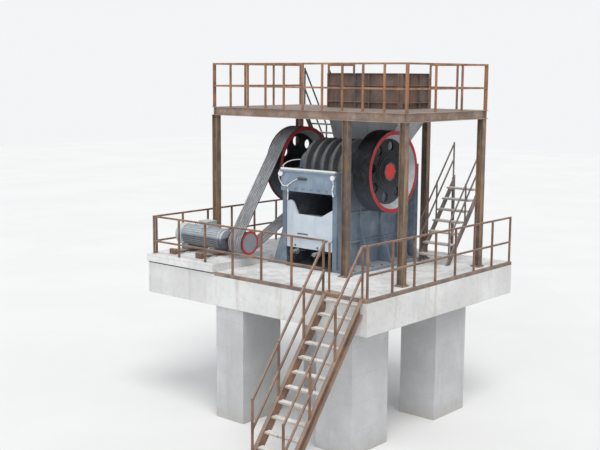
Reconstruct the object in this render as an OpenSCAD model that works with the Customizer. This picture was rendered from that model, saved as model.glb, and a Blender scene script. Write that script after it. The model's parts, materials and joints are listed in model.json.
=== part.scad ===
// Jaw crusher station: a raised concrete platform with stairs, guard rails, a steel feed deck,
// a single toggle jaw crusher and its belt drive. Lengths are millimetres, +Z is up.
// The crusher's shaft lies along X, and the rear (toggle) end of the crusher faces the front, -Y.

/* [Platform] */
// Height of the slab top above the ground
slab_top = 3420; // [2800:10:4200]
// Width of the slab
slab_w = 6600; // [6500:10:7200]
// Depth of the slab
slab_d = 5830; // [5800:10:6400]
// Thickness of the slab
slab_t = 770; // [500:10:900]
// Width of the right piers
pier_w = 960; // [700:10:1100]
// Width of the left piers
left_pier_w = 850; // [700:10:900]
// Depth of every pier
pier_d = 1260; // [900:10:1300]
// Distance from the slab's right face to the right piers
pier_inset = 400; // [200:10:600]
// Left face of the left piers, from the slab's right face
left_pier_reach = 4350; // [4300:10:4600]
// Front face of the front piers behind the slab's front face
front_pier_y = 60; // [0:10:200]
// Front face of the back piers behind the slab's front face
back_pier_y = 3170; // [2800:10:3400]
// Height of the raised motor curb
curb_h = 180; // [100:10:250]
// Width of the motor curb
curb_w = 2250; // [2100:10:2300]
// Depth of the motor curb
curb_d = 1960; // [1800:10:2100]
// How far the curb stands out past the slab's front face
curb_lip = 60; // [20:5:100]
// Width of the discharge hole in the slab
hole_w = 840; // [600:10:840]
// Depth of the discharge hole in the slab
hole_d = 820; // [600:10:900]

/* [Stairs] */
// Horizontal step of the main stair
main_going = 200; // [180:5:240]
// Number of risers of the main stair
main_risers = 13; // [12:1:15]
// Width over the stringers of the main stair
main_stair_w = 1050; // [900:10:1100]
// Right side of the main stair, from the slab's right face
main_stair_inset = 100; // [60:5:200]
// Drop from the slab's top to the main stair's first tread
first_drop = 120; // [60:5:200]
// Depth of a tread of the main stair
main_tread_d = 150; // [120:5:180]
// Width of a main stringer's flanges
main_flange = 85; // [60:5:100]
// Height of the landing level behind the slab that the two upper flights reach
landing_h = 2000; // [1800:10:2200]
// Width over the stringers of the two upper flights
flight_w = 860; // [700:10:880]
// Left side of the inner flight, from the crusher's middle plane
inner_reach = 1350; // [1330:10:1400]
// Horizontal length of the inner flight
inner_run = 1600; // [1300:10:1640]
// Thickness of an upper flight's stringer
flight_t = 40; // [30:5:60]
// Depth of an upper flight's stringer, square to its slope
flight_depth = 120; // [100:5:160]
// Depth of a main stringer, square to its slope
main_depth = 200; // [180:5:240]
// Height of the stairs' top rail over the stringers
stair_rail_h = 1110; // [900:10:1150]
// Height of the stairs' middle rail over the stringers
stair_mid_h = 480; // [400:10:550]
// Height of the inner flight's top rail over its stringers
inner_rail_h = 900; // [800:10:1100]
// Height of the deck flight's top rail over its stringers
deck_flight_rail_h = 1030; // [900:10:1100]

/* [Guard rails] */
// Height of a top rail
rail_h = 1100; // [1000:10:1200]
// Height of a mid rail
mid_rail_h = 505; // [450:5:600]
// Side of a rail bar or post
bar = 40; // [30:1:50]
// Side of a rail bar or post of the upper flights
flight_bar = 30; // [25:1:40]
// Distance from the slab's left face to the left guard rail
left_rail_inset = 150; // [100:10:200]

/* [Deck] */
// Height of the deck above the slab
deck_h = 3680; // [3500:10:3900]
// Left edge of the deck, from the slab's right face
deck_left = 5930; // [5900:10:6100]
// Right edge of the deck, from the slab's right face
deck_right = 180; // [150:10:300]
// Front edge of the deck behind the slab's front face
deck_front = 1500; // [1400:10:1600]
// Back edge of the deck behind the slab's front face
deck_back = 4800; // [4780:10:4860]
// Depth of the deck's beams
beam_h = 200; // [160:10:240]
// Height of the deck's top rail above the deck
deck_rail_h = 1050; // [1000:10:1200]
// Size of a column
column_size = 150; // [140:5:160]

/* [Feed guard] */
// Width of the feed guard
guard_w = 2100; // [1800:10:2200]
// Height of the feed guard above the deck
guard_h = 830; // [600:10:1000]
// Front of the feed guard behind the slab's front face
guard_front = 3500; // [3450:10:3560]
// Depth of the feed guard
guard_d = 1100; // [900:10:1110]
// How far a stiffener stands out
stiffener = 60; // [40:5:80]

/* [Crusher] */
// Centre of the crusher from the slab's left face
crusher_left = 3550; // [3540:5:3560]
// Height of the shaft above the slab
shaft_z = 2280; // [2200:10:2300]
// Shaft position behind the slab's front face
shaft_y = 2950; // [2900:10:3000]
// Radius of the shaft in its bearings
shaft_r = 150; // [120:1:160]
// Offset of the shaft's middle part
throw = 12; // [8:1:20]
// Running clearance round the shaft
running = 0.05; // [0.02:0.01:0.1]
// Radius of the flywheel and of the belt pulley
wheel_r = 940; // [850:5:960]
// Width of the flywheel and of the belt pulley
wheel_w = 470; // [380:10:480]
// Inner face of a wheel from the crusher's centre
wheel_in = 1080; // [1060:5:1100]
// Width of the jaws
jaw_w = 1200; // [1060:10:1200]
// Opening between the jaws at the bottom
discharge_gap = 130; // [80:5:160]
// Working face of the fixed jaw behind the slab's front face
fixed_face_y = 4400; // [4380:10:4420]
// Height of the jaws' lower end
discharge_z = 450; // [420:10:500]
// Angle between the jaws
nip = 17.5; // [16:0.5:19]
// Length of the swing jaw's wear plate
jaw_len = 2024; // [1900:10:2030]
// Pitch of the teeth
tooth_pitch = 100; // [80:10:120]
// Outer radius of the ribs round the shaft
rib_r = 700; // [640:10:710]
// Number of ribs on the swing jaw
rib_count = 5; // [4:1:7]
// Thickness of a rib on the swing jaw
rib_t = 80; // [50:5:90]
// Radius of a bearing housing
housing_r = 380; // [340:5:385]
// Half of the width of the crusher's front wall
front_half = 1080; // [1060:5:1090]
// Height of the crusher's front wall
front_top = 2340; // [2300:10:2360]

/* [Drive] */
// Height of the motor's shaft above the slab
motor_z = 580; // [540:5:620]
// Motor shaft behind the slab's front face
motor_y = 950; // [900:10:1000]
// Radius of the motor's body
motor_r = 260; // [220:5:280]
// Radius of the motor pulley
motor_pulley_r = 280; // [240:5:300]
// Number of belt strands
strands = 8; // [6:1:9]

/* [Hidden] */

CONCRETE = "gainsboro";
RUST = [0.45, 0.28, 0.18];
BLUE = [0.42, 0.50, 0.60];
PALE = [0.75, 0.80, 0.86];
DARK = [0.20, 0.21, 0.23];
RED = [0.75, 0.12, 0.12];
STEEL = [0.55, 0.56, 0.58];
BELT = [0.33, 0.34, 0.36];
TREAD = [0.80, 0.79, 0.76];

crusher_x = slab_w - crusher_left;
inner_left = crusher_x - inner_reach;
stair_run = main_risers * main_going;
plate = 12;
edge_leg = 75;
edge_t = 10;
wall_in = jaw_w / 2 + 90;
wall_t = 70;
post_w = 130;
frame_half = wall_in + post_w;
foot_out = 590;
frame_rear = 1800;
frame_front = fixed_face_y + 100;
eccentric_r = shaft_r + 40;
jaw_t = 100;
jaw_wall = 120;
barrel_r = 520;
rib_root = jaw_t + jaw_wall / 2;
seat_r = 50;
toggle_rear = [2700, 900];
toggle_front = [3640, 600];
open_gap = 18;
belt_seat = wheel_r - 25;
// How far inside their tangents the belt's straight runs leave its circles
bite = 0.1;
motor_seat = motor_pulley_r - 25;
lip = 20;
web_high = wheel_w - 170;
web_low = web_high - 60;
rim_low = wheel_r - 186;
rim_mouth = wheel_r - 94;
cap_t = 20;
hub_top = wheel_w - 107 - cap_t;
motor_end = -1820;
motor_shaft_r = 50;
guard_left = crusher_x + guard_w / 2 - 230;

// Everything is placed from the slab's front right top corner, with the origin of the whole
// station on the ground under the middle of its outline.
module on_slab() {
    translate([slab_w / 2, (stair_run - slab_d) / 2, slab_top]) children();
}

// The crusher's own place: X from its centre plane, Y and Z from the same corner.
module at_crusher() {
    on_slab() translate([-crusher_x, 0, 0]) children();
}

// An outline drawn in Y and Z, made into a plate from x0 to x1.
module side_plate(x0, x1) {
    translate([x0, 0, 0]) rotate([90, 0, 90]) linear_extrude(x1 - x0) children();
}

// A round bar along X.
module bar_x(x0, x1, y, z, r) {
    translate([x0, y, z]) rotate([0, 90, 0]) cylinder(h = x1 - x0, r = r, $fn = 96);
}

// Concrete

module edge_shape() {
    translate([-slab_w + curb_w, 0, -edge_leg])
        cube([slab_w - curb_w, edge_t, edge_leg]);
    translate([-slab_w + curb_w, 0, -edge_t]) cube([slab_w - curb_w, edge_leg, edge_t]);
    translate([-edge_t, 0, -edge_leg]) cube([edge_t, slab_d, edge_leg]);
    translate([-edge_leg, 0, -edge_t]) cube([edge_leg, slab_d, edge_t]);
}

module slab() {
    color(CONCRETE) on_slab() difference() {
        translate([-slab_w, 0, -slab_t]) cube([slab_w, slab_d, slab_t]);
        edge_shape();
        translate([-crusher_x - hole_w / 2, fixed_face_y + 60 - hole_d, -slab_t - 1])
            cube([hole_w, hole_d, slab_t + 2]);
    }
}

module slab_edge_angle() {
    color(RUST) on_slab() edge_shape();
}

module motor_curb() {
    color(CONCRETE) on_slab() translate([-slab_w, -curb_lip, 0])
        cube([curb_w, curb_d + curb_lip, curb_h]);
}

module pier(x, w, y) {
    color(CONCRETE) on_slab() translate([x, y, -slab_top]) cube([w, pier_d, slab_top - slab_t]);
}

module pier_front_right() {
    pier(-pier_inset - pier_w, pier_w, front_pier_y);
}

module pier_back_right() {
    pier(-pier_inset - pier_w, pier_w, back_pier_y);
}

module pier_front_left() {
    pier(-left_pier_reach, left_pier_w, front_pier_y);
}

module pier_back_left() {
    pier(-left_pier_reach, left_pier_w, back_pier_y);
}

// Stairs. A flight hangs from its head at the origin and goes down towards -Y.
tread_t = 40;
stair_gap = 10;

// A bar of width t between two points of a drawing.
module bar_between(a, b, t) {
    run = b - a;
    translate(a) rotate(atan2(run[1], run[0])) translate([0, -t / 2]) square([norm(run), t]);
}

// The posts and rails over one stringer, drawn in Y and Z.
module flight_rail(slope, post_runs, start, rail_top, b) {
    first = -start;
    last = -post_runs[len(post_runs) - 1];
    for (y = post_runs) translate([-y - b / 2, -y * slope - 60]) square([b, rail_top + 60]);
    for (h = [rail_top - b, stair_mid_h])
        bar_between([last, last * slope + h], [first, first * slope + h], b);
}

// A sloping strip whose upper edge lies the distance "down" under the flight's top line.
module sloping_strip(rise, run, down, depth) {
    slope = rise / run;
    k = norm([rise, run]) / run;
    z0 = -down * k;
    z1 = z0 - depth * k;
    polygon([[0, z0], [-(rise + z0) / slope, -rise], [-(rise + z1) / slope, -rise], [0, z1]]);
}

module flat_stringer(rise, run) {
    side_plate(0, flight_t) sloping_strip(rise, run, 0, flight_depth);
}

module flight_sides(rise, run, post_runs, rail_top) {
    for (x = [0, flight_w - flight_t]) translate([x, 0, 0]) flat_stringer(rise, run);
    for (x = [flight_t / 2, flight_w - flight_t / 2])
        side_plate(x - flight_bar / 2, x + flight_bar / 2)
            flight_rail(rise / run, post_runs, post_runs[0], rail_top, flight_bar);
}

module flight_treads(rise, run, risers) {
    going = run / risers;
    riser = rise / risers;
    for (k = [1 : risers - 1]) translate([flight_t, -(k + 1) * going, -k * riser - tread_t - 20])
        cube([flight_w - 2 * flight_t, going, tread_t]);
}

// Two legs under a flight, flush with the inner faces of its stringers.
module flight_legs(side, y, z, h) {
    for (x = [flight_t - side, flight_w - flight_t])
        translate([x, y, z]) cube([side, side, h]);
}

module at_main_stair() {
    on_slab() translate([-main_stair_inset - main_stair_w, 0, 0]) children();
}

// The left stringer: a channel with its flanges outwards.
module main_stringer() {
    side_plate(main_flange - plate, main_flange)
        sloping_strip(slab_top, stair_run, 0, main_depth);
    for (down = [0, main_depth - plate])
        side_plate(0, main_flange) sloping_strip(slab_top, stair_run, down, plate);
}

module main_stair_sides() {
    slope = slab_top / stair_run;
    color(RUST) at_main_stair() {
        main_stringer();
        translate([main_stair_w, 0, 0]) mirror([1, 0, 0]) main_stringer();
        side_plate(main_flange / 2 - bar / 2, main_flange / 2 + bar / 2)
            flight_rail(slope, [650, 1410, 2170], 0, stair_rail_h, bar);
        side_plate(main_stair_w - main_flange / 2 - bar / 2, main_stair_w - main_flange / 2 + bar / 2)
            flight_rail(slope, [830, 1590, 2350], 0, stair_rail_h, bar);
        translate([-stair_gap, 0, stair_rail_h - bar * 3 / 2])
            cube([stair_gap + main_flange / 2 + bar / 2, 50 + bar / 2, bar]);
        translate([main_stair_w - main_flange / 2 - bar / 2, 0, stair_rail_h - bar * 3 / 2])
            cube([main_flange / 2 + main_stair_inset - 50, 70 + bar / 2, bar]);
    }
}

module main_stair_treads() {
    riser = slab_top / main_risers;
    color(TREAD) at_main_stair() for (k = [0 : main_risers - 1]) {
        back = k == 0 ? 0 : 80 - k * main_going;
        front = 80 - k * main_going - main_tread_d;
        translate([main_flange, front, -first_drop - k * riser - tread_t])
            cube([main_stair_w - 2 * main_flange, back - front, tread_t]);
    }
}

deck_flight_run = slab_d - deck_back;
deck_flight_x = deck_left - 110;

module at_deck_stair() {
    on_slab() translate([-deck_flight_x + flight_w, deck_back, deck_h]) rotate([0, 0, 180])
        children();
}

module deck_stair_sides() {
    color(DARK) at_deck_stair() {
        flight_sides(deck_h - landing_h, deck_flight_run, [40, deck_flight_run - 60],
            deck_flight_rail_h);
        flight_legs(80, 40 - deck_flight_run, -deck_h, landing_h);
    }
}

module deck_stair_treads() {
    color(TREAD) at_deck_stair() flight_treads(deck_h - landing_h, deck_flight_run, 7);
}

module at_inner_stair() {
    on_slab() translate([-inner_left, slab_d, landing_h]) children();
}

module inner_stair_sides() {
    color(DARK) at_inner_stair() {
        flight_sides(landing_h, inner_run, [60, inner_run / 2, inner_run - 120], inner_rail_h);
        flight_legs(60, -60, -landing_h, landing_h - 60);
    }
}

module inner_stair_treads() {
    color(TREAD) at_inner_stair() flight_treads(landing_h, inner_run, 8);
}

// Guard rails. A panel runs along X from its first post, whose feet stand at the given heights.

module rail_panel(posts, feet, top, mid) {
    for (i = [0 : len(posts) - 1]) translate([posts[i] - bar / 2, -bar / 2, feet[i]])
        cube([bar, bar, top - feet[i]]);
    first = posts[0] - bar / 2;
    long = posts[len(posts) - 1] + bar / 2 - first;
    for (h = [top, mid]) translate([first, -bar / 2, h - bar]) cube([long, bar, bar]);
}

function even_posts(first, last, bays) = [for (i = [0 : bays]) first + (last - first) * i / bays];

front_posts = even_posts(-slab_w + left_rail_inset,
    -main_stair_inset - main_stair_w - stair_gap - bar / 2, 6);

module front_guard_rail() {
    color(RUST) on_slab() translate([0, 50, 0])
        rail_panel(front_posts, [for (x = front_posts) x < curb_w - slab_w ? curb_h : 0],
            rail_h, mid_rail_h);
}

right_posts = concat([70], [for (i = [0 : 5]) 930 + 805 * i], [slab_d - 40]);

module right_guard_rail() {
    color(RUST) on_slab() translate([-50, 0, 0]) rotate([0, 0, 90])
        rail_panel(right_posts, [for (y = right_posts) 0], rail_h, mid_rail_h);
}

left_posts = [for (i = [0 : 6]) 130 + 860 * i];

module left_guard_rail() {
    color(RUST) on_slab() translate([-slab_w + left_rail_inset, 0, 0]) rotate([0, 0, 90])
        rail_panel(left_posts, [for (y = left_posts) y < curb_d + bar ? curb_h : 0],
            rail_h, mid_rail_h);
}

// Steel deck

module column(h) {
    translate([-120, -120, 0]) cube([240, 240, 20]);
    for (s = [-1, 1]) translate([s * (column_size - plate) / 2 - plate / 2, -column_size / 2, 0])
        cube([plate, column_size, h]);
    translate([-column_size / 2, -5, 0]) cube([column_size, 10, h]);
}

column_x = [-290, 1230 - crusher_x, -5870];

module column_at(x, y, foot) {
    color(RUST) on_slab() translate([x, y, foot]) column(deck_h - beam_h - foot);
}

front_row_y = deck_front + 100;
back_row_y = deck_back - column_size / 2 - 10;

module column_front_right() {
    column_at(column_x[0], front_row_y, 0);
}

module column_front_mid() {
    column_at(column_x[1], front_row_y, 0);
}

module column_front_left() {
    column_at(column_x[2], front_row_y, curb_h);
}

module column_back_right() {
    column_at(column_x[0], back_row_y, 0);
}

module column_back_mid() {
    column_at(column_x[1], back_row_y, 0);
}

module column_back_left() {
    column_at(column_x[2], back_row_y, 0);
}

deck_w = deck_left - deck_right;
deck_d = deck_back - deck_front;

// A channel beam along X with its open side towards -Y.
module channel(long) {
    side_plate(0, long)
        polygon([[0, 0], [75, 0], [75, beam_h], [0, beam_h], [0, beam_h - plate],
            [75 - 8, beam_h - plate], [75 - 8, plate], [0, plate]]);
}

guard_x = -guard_left;
frame_z = deck_h - beam_h;

module deck_frame() {
    color(RUST) on_slab() {
        translate([-deck_left, deck_front, frame_z]) channel(deck_w);
        translate([-deck_right, deck_back, frame_z]) rotate([0, 0, 180]) channel(deck_w);
        translate([-deck_right, deck_front, frame_z]) rotate([0, 0, 90]) channel(deck_d);
        translate([-deck_left, deck_back, frame_z]) rotate([0, 0, -90]) channel(deck_d);
        for (x = [-5200, -4600, guard_x - 60, guard_x + guard_w, -1310, -760])
            translate([x, deck_front + 70, frame_z]) cube([60, deck_d - 140, beam_h - 20]);
        for (x = [guard_x + 520, guard_x + 1040, guard_x + 1560])
            translate([x, deck_front + 70, frame_z])
                cube([60, guard_front - deck_front - 70, beam_h - 20]);
        translate([guard_x, guard_front - 60, frame_z]) cube([guard_w, 60, beam_h - 20]);
    }
}

module deck_plate() {
    color(RUST) on_slab() difference() {
        translate([-deck_left + 80, deck_front + 80, deck_h - 20])
            cube([deck_w - 160, deck_d - 160, 20]);
        translate([guard_x, guard_front, deck_h - 21]) cube([guard_w, guard_d, 22]);
    }
}

module deck_rail_front() {
    posts = even_posts(-deck_left + 40, -deck_right - 40, 10);
    color(RUST) on_slab() translate([0, deck_front + 40, deck_h])
        rail_panel(posts, [for (x = posts) 0], deck_rail_h, deck_rail_h / 2);
}

deck_side_posts = even_posts(deck_front + 40 + bar, deck_back - 40, 3);

module deck_rail_right() {
    color(RUST) on_slab() translate([-deck_right - 40, 0, deck_h]) rotate([0, 0, 90])
        rail_panel(deck_side_posts, [0, 0, 0, 0], deck_rail_h, deck_rail_h / 2);
}

module deck_rail_left() {
    color(RUST) on_slab() translate([-deck_left + 40, 0, deck_h]) rotate([0, 0, 90])
        rail_panel(deck_side_posts, [0, 0, 0, 0], deck_rail_h, deck_rail_h / 2);
}

// Two panels, one on each side of the feeder's way in.
module deck_rail_back() {
    color(RUST) on_slab() translate([0, deck_back - 40, deck_h])
        for (posts = [even_posts(-deck_flight_x + flight_w + 40, guard_x - 220, 1),
                even_posts(guard_x + guard_w, -deck_right - 40 - bar, 2)])
            rail_panel(posts, [for (x = posts) 0], deck_rail_h, deck_rail_h / 2);
}

// Feed guard and hopper

// A stiffened panel along X, its ribs towards -Y.
module ribbed_panel(w, bays) {
    cube([w, plate, guard_h]);
    for (z = [150, 545, guard_h]) translate([0, -stiffener, z - plate])
        cube([w, stiffener, plate]);
    for (i = [0 : bays]) translate([i * (w - plate) / bays, -stiffener, 0])
        cube([plate, stiffener, guard_h]);
}

module feed_guard_front() {
    color(RUST) on_slab() translate([guard_x, guard_front - plate, deck_h])
        ribbed_panel(guard_w, 5);
}

module feed_guard_right() {
    color(RUST) on_slab() translate([guard_x + guard_w + plate, guard_front, deck_h])
        rotate([0, 0, 90]) ribbed_panel(guard_d, 3);
}

module feed_guard_left() {
    color(RUST) on_slab() translate([guard_x - plate, guard_front + guard_d, deck_h])
        rotate([0, 0, -90]) ribbed_panel(guard_d, 3);
}

hopper_knee = 3400;
hopper_low = 2450;

module hopper_block(grow, extra) {
    translate([guard_x - grow + 20, guard_front - grow + 20, hopper_knee])
        cube([guard_w + 2 * grow - 40, guard_d + 2 * grow - 40, deck_h - 30 - hopper_knee + extra]);
    hull() {
        translate([guard_x - grow + 20, guard_front - grow + 20, hopper_knee])
            cube([guard_w + 2 * grow - 40, guard_d + 2 * grow - 40, 1]);
        translate([-crusher_x - jaw_w / 2 - grow, fixed_face_y - 740 - grow, hopper_low - extra])
            cube([jaw_w + 2 * grow, 740 + 2 * grow, 1]);
    }
}

module feed_hopper() {
    color(PALE) on_slab() difference() {
        hopper_block(20, 0);
        hopper_block(0, 1);
    }
}

// Crusher frame

module frame_wall_outline() {
    polygon([[frame_rear + 200, 60], [frame_front, 60], [frame_front, front_top],
        [3500, front_top], [3370, shaft_z - 320], [2520, shaft_z - 320], [2400, shaft_z],
        [frame_rear + 200, shaft_z]]);
}

// The right wall; the left one is its mirror image.
module frame_side() {
    side_plate(wall_in, wall_in + wall_t) frame_wall_outline();
    translate([wall_in, frame_rear, 60]) cube([post_w, 200, shaft_z - 60]);
    translate([wall_in, frame_rear, 0]) cube([foot_out, 2500, 60]);
    translate([wall_in, frame_rear, 0]) cube([400, frame_front - frame_rear, 60]);
    translate([wall_in, 2520, shaft_z - 380]) cube([280, 850, 60]);
    for (y = [frame_rear + 60, 2700, 3500, 4200]) translate([0, y, 0]) rotate([90, 0, 0])
        linear_extrude(40, center = true)
            polygon([[wall_in + 60, 60], [wall_in + 450, 60], [wall_in + 410, 160],
                [frame_half, 950], [frame_half, shaft_z - 380], [wall_in + 60, shaft_z - 380]]);
    for (z = [620, 1300]) translate([wall_in + 60, frame_rear + 200, z])
        cube([post_w - 60, frame_front - frame_rear - 200, 30]);
}

module frame_side_right() {
    color(BLUE) at_crusher() frame_side();
}

module frame_side_left() {
    color(BLUE) at_crusher() mirror([1, 0, 0]) frame_side();
}

module frame_front_wall() {
    color(BLUE) at_crusher() {
        translate([-front_half, frame_front, 0]) cube([2 * front_half, 60, front_top]);
        for (i = [0 : 4]) {
            translate([-front_half, frame_front + 60, i * (front_top - 60) / 4])
                cube([2 * front_half, 80, 60]);
            translate([-front_half + i * (2 * front_half - 60) / 4, frame_front + 60, 0])
                cube([60, 80, front_top]);
        }
    }
}

beam_half = frame_half;
beam_low = 1780;
beam_top = 2280;

module rear_beam() {
    color(BLUE) at_crusher() {
        translate([-beam_half, frame_rear - 60, beam_low])
            cube([2 * beam_half, 60, beam_top - beam_low]);
        translate([-beam_half, frame_rear - 100, beam_top - 40]) cube([2 * beam_half, 40, 40]);
        bar_x(-beam_half, beam_half, frame_rear - 60, beam_top + 20, 25);
        for (s = [-1, 1]) translate([s * (beam_half - 40), frame_rear - 50, beam_top - 105])
            rotate([90, 0, 0]) cylinder(h = 100, r = 58, $fn = 48);
    }
}

panel_low = 455;
block_low = 700;

module rear_panel() {
    color(PALE) at_crusher() translate([0, frame_rear + 60, 0]) rotate([90, 0, 0])
        linear_extrude(50) difference() {
            polygon([[-wall_in, panel_low], [wall_in, panel_low], [wall_in, 1430], [350, 1240],
                [-360, 1250], [-470, 1480], [-520, 1545], [-590, 1565], [-wall_in, 1540]]);
            translate([-380, 770]) square([330, 35]);
            for (x = [-435, 240]) translate([x, panel_low + 45]) circle(r = 32, $fn = 48);
        }
    color(PALE) at_crusher() translate([-wall_in, frame_rear - 30, block_low])
        cube([2 * wall_in, 60, 25]);
}

module toggle_block() {
    color(BLUE) at_crusher() difference() {
        translate([-wall_in, frame_rear + 60, block_low])
            cube([2 * wall_in, toggle_rear[0] - frame_rear - 60, 420]);
        bar_x(-wall_in - 1, wall_in + 1, toggle_rear[0], toggle_rear[1], seat_r + 0.3);
    }
}

// Toothed wear plates. The teeth run up the plate and face +Y.
module tooth_profile(w) {
    teeth = floor(w / tooth_pitch);
    polygon(concat([[-w / 2, -jaw_t], [w / 2, -jaw_t], [w / 2, -30]],
        [for (i = [0 : teeth - 1], p = [0, 1, 2, 3])
            [w / 2 - (i + [0.15, 0.35, 0.65, 0.85][p]) * tooth_pitch, [-30, 0, 0, -30][p]]],
        [[-w / 2, -30]]));
}

module fixed_jaw_plate() {
    color(STEEL) at_crusher() translate([0, fixed_face_y, discharge_z]) rotate([0, 0, 180])
        linear_extrude(1850) tooth_profile(jaw_w);
}

// Places a child on the swing jaw's working face: Z runs up the face and Y out of it.
module on_swing_face() {
    translate([0, fixed_face_y - discharge_gap, discharge_z]) rotate([nip, 0, 0]) children();
}

function face_point(depth, up) = [
    fixed_face_y - discharge_gap - depth * cos(nip) - up * sin(nip),
    discharge_z - depth * sin(nip) + up * cos(nip)];

module swing_jaw_plate() {
    color(STEEL) at_crusher() on_swing_face() linear_extrude(jaw_len) tooth_profile(jaw_w);
}

// One rib of the swing jaw, seen from the side. It starts inside the barrel and the front wall.
module rib_outline() {
    difference() {
        union() {
            intersection() {
                translate([shaft_y, shaft_z]) circle(r = rib_r, $fn = 128);
                polygon([face_point(rib_root, jaw_len + 900), face_point(rib_root, -400),
                    [1500, 0], [1500, 3500]]);
            }
            polygon([face_point(rib_root, jaw_len - 120), face_point(rib_root, 300), [3800, 700],
                [3650, 770], [3330, 1480], [shaft_y, shaft_z - rib_r + 30]]);
        }
        translate([shaft_y, shaft_z]) circle(r = barrel_r - 120, $fn = 96);
    }
}

heel_low = [3983, 300];
heel_back = [3700, 400];

// The barrel, front wall and heel of the swing jaw, seen from the side.
module jaw_outline() {
    difference() {
        union() {
            translate([shaft_y, shaft_z]) circle(r = barrel_r, $fn = 128);
            polygon([face_point(jaw_t, 40), face_point(jaw_t, jaw_len - 30),
                face_point(jaw_t + jaw_wall, jaw_len - 30), face_point(jaw_t + jaw_wall, 40)]);
            polygon([face_point(rib_root, 60), heel_low, heel_back, [3600, 720], [3640, 800],
                [3850, 860]]);
        }
        translate([shaft_y, shaft_z]) circle(r = eccentric_r + throw + 0.3, $fn = 192);
        translate(toggle_front) circle(r = seat_r + open_gap, $fn = 96);
    }
}

module swing_jaw() {
    color(DARK) at_crusher() {
        side_plate(-jaw_w / 2, jaw_w / 2) jaw_outline();
        for (i = [0 : rib_count - 1]) {
            x = -jaw_w / 2 + 20 + i * (jaw_w - 40 - rib_t) / (rib_count - 1);
            side_plate(x, x + rib_t) rib_outline();
        }
    }
}

// The rods hang on lugs under the jaw's heel and end in springs under the rear panel.
module tension_rods() {
    lug = heel_back + [0, -0.3];
    along = (heel_low - heel_back) / 3;
    color(STEEL) at_crusher() for (x = [-330, 330]) translate([x, 0, 0]) {
        side_plate(-50, 50) polygon([lug, lug + along, lug + along - [0, 70], lug - [0, 110]]);
        translate([0, 3760, 315]) rotate([88, 0, 0]) cylinder(h = 2240, r = 22, $fn = 48);
        translate([0, 1760, 385]) rotate([88, 0, 0]) cylinder(h = 180, r = 50, $fn = 48);
        translate([0, 1775, 384]) rotate([88, 0, 0]) cylinder(h = 30, r = 65, $fn = 48);
    }
}

module toggle_plate() {
    run = toggle_front - toggle_rear;
    color(STEEL) at_crusher() {
        side_plate(-550, 550) {
            translate(toggle_rear) circle(r = seat_r, $fn = 96);
            translate(toggle_front) circle(r = seat_r, $fn = 96);
            translate(toggle_rear) rotate(atan2(run[1], run[0])) translate([0, -30])
                square([norm(run), 60]);
        }
    }
}

// A housing's block, seen from the side: round above the shaft, with feet on the saddle.
module housing_outline() {
    intersection() {
        translate([shaft_y, shaft_z]) circle(r = housing_r, $fn = 128);
        translate([shaft_y - housing_r, shaft_z]) square([2 * housing_r, housing_r]);
    }
    translate([shaft_y - housing_r, shaft_z - 320]) square([2 * housing_r, 320]);
    translate([shaft_y - 410, shaft_z - 320]) square([820, 130]);
}

module bearing_housing() {
    inner = wall_in - 10;
    difference() {
        union() {
            side_plate(inner, inner + 280) housing_outline();
            bar_x(inner + 280, inner + 320, shaft_y, shaft_z, 310);
            bar_x(inner + 320, inner + 350, shaft_y, shaft_z, 230);
        }
        bar_x(inner - 1, inner + 400, shaft_y, shaft_z, shaft_r + running);
    }
}

module bearing_housing_right() {
    color(BLUE) at_crusher() bearing_housing();
}

module bearing_housing_left() {
    color(BLUE) at_crusher() mirror([1, 0, 0]) bearing_housing();
}

// Rotor

module eccentric_shaft() {
    color(STEEL) at_crusher() {
        bar_x(-wheel_in - hub_top, wheel_in + hub_top, shaft_y, shaft_z, shaft_r);
        bar_x(-jaw_w / 2 + 10, jaw_w / 2 - 10, shaft_y, shaft_z + throw, eccentric_r);
    }
}

// A wheel about Z with its inner face at 0 and its outer face at wheel_w. Its section is turned
// from the bore outwards; "rim" lists the rim's outer points from the inner face to the outer one.
module wheel(rim) {
    difference() {
        rotate_extrude($fn = 128) polygon(concat(
            [[shaft_r, 0], [260, 0], [260, web_low], [rim_low, web_low], [rim_mouth, 0]], rim,
            [[rim_mouth, wheel_w], [rim_low, web_high], [440, web_high], [440, web_high + 15],
                [380, web_high + 15], [380, web_high + 30], [290, web_high + 30], [290, hub_top],
                [shaft_r, hub_top]]));
        for (k = [0 : 7]) rotate(k * 45 - 10) translate([590, 0, web_low - 1])
            cylinder(h = 62, r = 115, $fn = 48);
    }
}

module at_flywheel() {
    at_crusher() translate([wheel_in, shaft_y, shaft_z]) rotate([0, 90, 0]) children();
}

module flywheel() {
    color(DARK) at_flywheel() wheel([[wheel_r, 0], [wheel_r, wheel_w]]);
}

module shaft_end_cap() {
    translate([0, 0, hub_top]) cylinder(h = cap_t, r = 220, $fn = 96);
}

module hub_cap_right() {
    color(RED) at_flywheel() shaft_end_cap();
}

module hub_cap_left() {
    color(RED) at_belt_pulley() shaft_end_cap();
}

module at_belt_pulley() {
    at_crusher() translate([-wheel_in, shaft_y, shaft_z]) rotate([0, -90, 0]) children();
}

module belt_pulley() {
    color(DARK) at_belt_pulley() wheel([[wheel_r, 0], [wheel_r, lip], [belt_seat, lip],
        [belt_seat, wheel_w - lip], [wheel_r, wheel_w - lip], [wheel_r, wheel_w]]);
}

// Drive

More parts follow.
